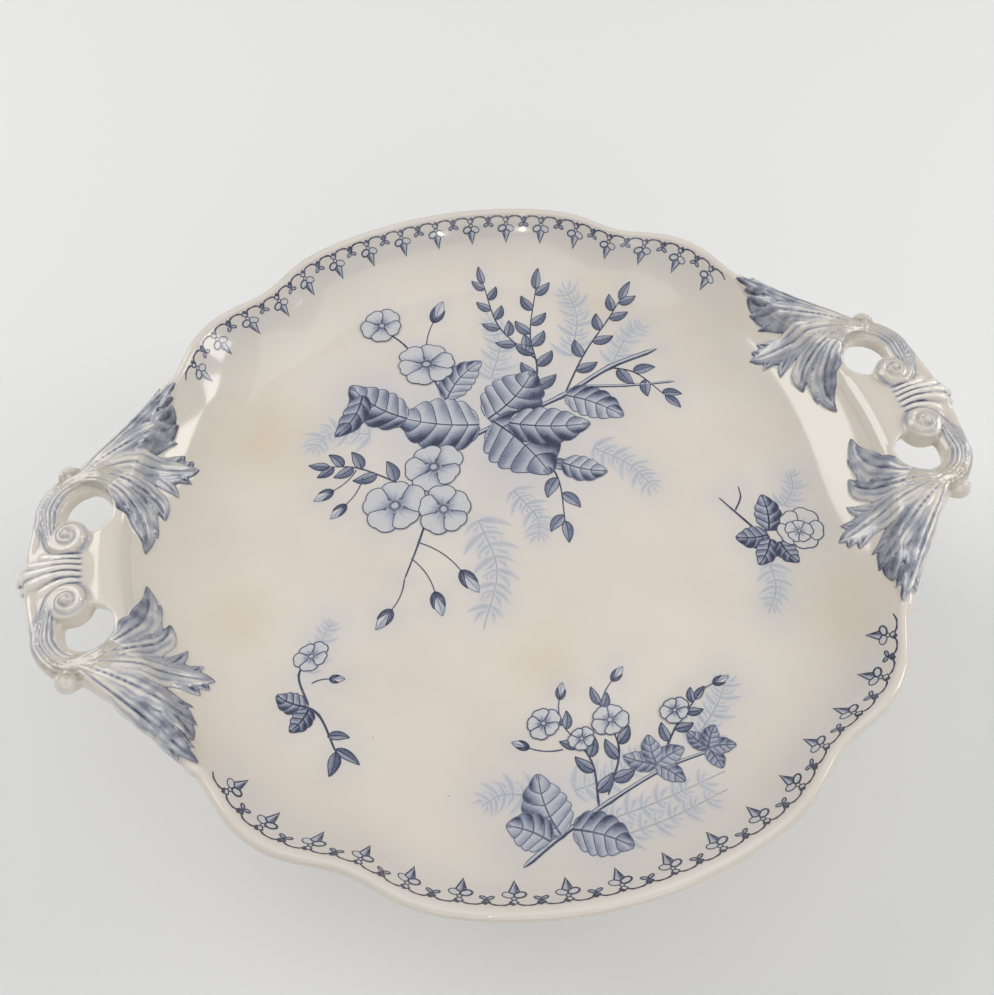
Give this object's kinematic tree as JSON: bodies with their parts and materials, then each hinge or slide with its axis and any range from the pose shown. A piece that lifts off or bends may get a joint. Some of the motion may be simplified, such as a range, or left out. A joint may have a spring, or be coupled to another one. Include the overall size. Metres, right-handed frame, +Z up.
{
  "type": "compote dish",
  "caption": "Footed serving dish with a lobed rim, a shallow well, pierced scroll handles with leaf ornament and a turned pedestal, for fruit or cakes.",
  "frame": {"origin": "on the axis of the dish, in the plane that the foot ring stands on", "axes": "+Z up along the dish's axis, +X from the axis to one handle"},
  "size_m": [0.3444, 0.29, 0.1244],
  "materials": {
    "ivory_glaze": "glossy ivory lead glaze over earthenware, lightly stained with age",
    "washed_glaze": "glossy ivory glaze with a grey-blue wash gathered in the grooves",
    "blue_underglaze": "soft slate-blue underglaze colour below a glossy glaze"
  },
  "bodies": {
    "root": {"dish": "ivory_glaze", "pedestal": "ivory_glaze", "right_handle": "washed_glaze", "left_handle": "washed_glaze", "right_shell": "washed_glaze", "left_shell": "washed_glaze", "right_leaf_back": "blue_underglaze", "right_leaf_front": "blue_underglaze", "left_leaf_back": "blue_underglaze", "left_leaf_front": "blue_underglaze"}
  },
  "joints": []
}
